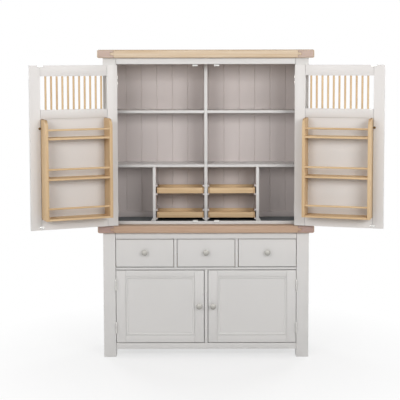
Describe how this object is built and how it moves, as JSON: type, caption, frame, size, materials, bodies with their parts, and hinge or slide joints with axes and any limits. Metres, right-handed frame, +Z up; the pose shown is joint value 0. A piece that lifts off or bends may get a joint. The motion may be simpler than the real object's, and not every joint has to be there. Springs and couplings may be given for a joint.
{
  "type": "kitchen hutch",
  "caption": "Painted double kitchen hutch with oak tops: shelved upper cupboard with spindle doors, spice racks and pull-out trays, over a base with drawers and panelled doors.",
  "frame": {"origin": "on the floor in the case's plane of symmetry, 16 mm behind its front face, which is midway between the front of the open upper doors and the wall", "axes": "+Z up, +X to the viewer's right when facing the doors, +Y from the front towards the wall"},
  "size_m": [2.1068, 0.6585, 1.899],
  "materials": {
    "paint": "satin painted",
    "oak": "satin lacquered",
    "oak_ends": "satin lacquered",
    "oak_pale": "satin lacquered",
    "drawer_wood": "matt",
    "slate": "matt dark grey",
    "pewter": "satin",
    "catch_plastic": "white"
  },
  "bodies": {
    "case": {"base_back_panel": "paint", "base_face_rails": "paint", "base_floor_board": "paint", "base_legs": "paint", "base_shelves": "paint", "base_uprights": "paint", "breadboard_ends": "oak_ends", "case_side_panels": "paint", "drawer_runners": "drawer_wood", "hinge_post_leaves": "pewter", "hutch_back_boards": "paint", "hutch_back_skirting": "paint", "hutch_dividers": "paint", "hutch_face_rails": "paint", "hutch_posts": "paint", "hutch_shelves": "paint", "hutch_top_board": "oak", "magnetic_catches": "catch_plastic", "slate_floor": "slate", "tray_runners": "paint", "worktop_board": "oak"},
    "left_base_door": {"left_base_door_fittings": "pewter", "left_base_door_frame": "paint", "left_base_door_moulding": "paint", "left_base_door_panel": "paint"},
    "left_drawer": {"left_drawer_box": "drawer_wood", "left_drawer_front": "paint"},
    "left_lower_tray": {"left_lower_tray": "oak_pale"},
    "left_upper_door": {"left_upper_door_fittings": "pewter", "left_upper_door_frame": "paint", "left_upper_door_moulding": "paint", "left_upper_door_panel": "paint", "left_upper_door_rack_rails": "oak_pale", "left_upper_door_rack_shelves": "oak_pale", "left_upper_door_rack_sides": "oak_pale", "left_upper_door_spindles": "oak_pale"},
    "left_upper_tray": {"left_upper_tray": "oak_pale"},
    "middle_drawer": {"middle_drawer_box": "drawer_wood", "middle_drawer_front": "paint"},
    "right_base_door": {"right_base_door_fittings": "pewter", "right_base_door_frame": "paint", "right_base_door_moulding": "paint", "right_base_door_panel": "paint"},
    "right_drawer": {"right_drawer_box": "drawer_wood", "right_drawer_front": "paint"},
    "right_lower_tray": {"right_lower_tray": "oak_pale"},
    "right_upper_door": {"right_upper_door_fittings": "pewter", "right_upper_door_frame": "paint", "right_upper_door_moulding": "paint", "right_upper_door_panel": "paint", "right_upper_door_rack_rails": "oak_pale", "right_upper_door_rack_shelves": "oak_pale", "right_upper_door_rack_sides": "oak_pale", "right_upper_door_spindles": "oak_pale"},
    "right_upper_tray": {"right_upper_tray": "oak_pale"}
  },
  "joints": [
    {"name": "left_upper_door_hinge", "type": "hinge", "parent": "case", "child": "left_upper_door", "pos_m": [-0.54425, -0.0213, 1.3], "axis": [0, 0, -1], "range_deg": [-157, 13]},
    {"name": "right_upper_door_hinge", "type": "hinge", "parent": "case", "child": "right_upper_door", "pos_m": [0.54425, -0.0213, 1.3], "axis": [0, 0, 1], "range_deg": [-164, 6]},
    {"name": "left_base_door_hinge", "type": "hinge", "parent": "case", "child": "left_base_door", "pos_m": [-0.55575, -0.0213, 0.32], "axis": [0, 0, -1], "range_deg": [0, 165]},
    {"name": "right_base_door_hinge", "type": "hinge", "parent": "case", "child": "right_base_door", "pos_m": [0.55575, -0.0213, 0.32], "axis": [0, 0, 1], "range_deg": [0, 165]},
    {"name": "left_drawer_slide", "type": "slide", "parent": "case", "child": "left_drawer", "axis": [0, -1, 0], "range_m": [0, 0.23]},
    {"name": "middle_drawer_slide", "type": "slide", "parent": "case", "child": "middle_drawer", "axis": [0, -1, 0], "range_m": [0, 0.23]},
    {"name": "right_drawer_slide", "type": "slide", "parent": "case", "child": "right_drawer", "axis": [0, -1, 0], "range_m": [0, 0.23]},
    {"name": "left_lower_tray_slide", "type": "slide", "parent": "case", "child": "left_lower_tray", "axis": [0, -1, 0], "range_m": [0, 0.15]},
    {"name": "left_upper_tray_slide", "type": "slide", "parent": "case", "child": "left_upper_tray", "axis": [0, -1, 0], "range_m": [0, 0.15]},
    {"name": "right_lower_tray_slide", "type": "slide", "parent": "case", "child": "right_lower_tray", "axis": [0, -1, 0], "range_m": [0, 0.15]},
    {"name": "right_upper_tray_slide", "type": "slide", "parent": "case", "child": "right_upper_tray", "axis": [0, -1, 0], "range_m": [0, 0.15]}
  ]
}
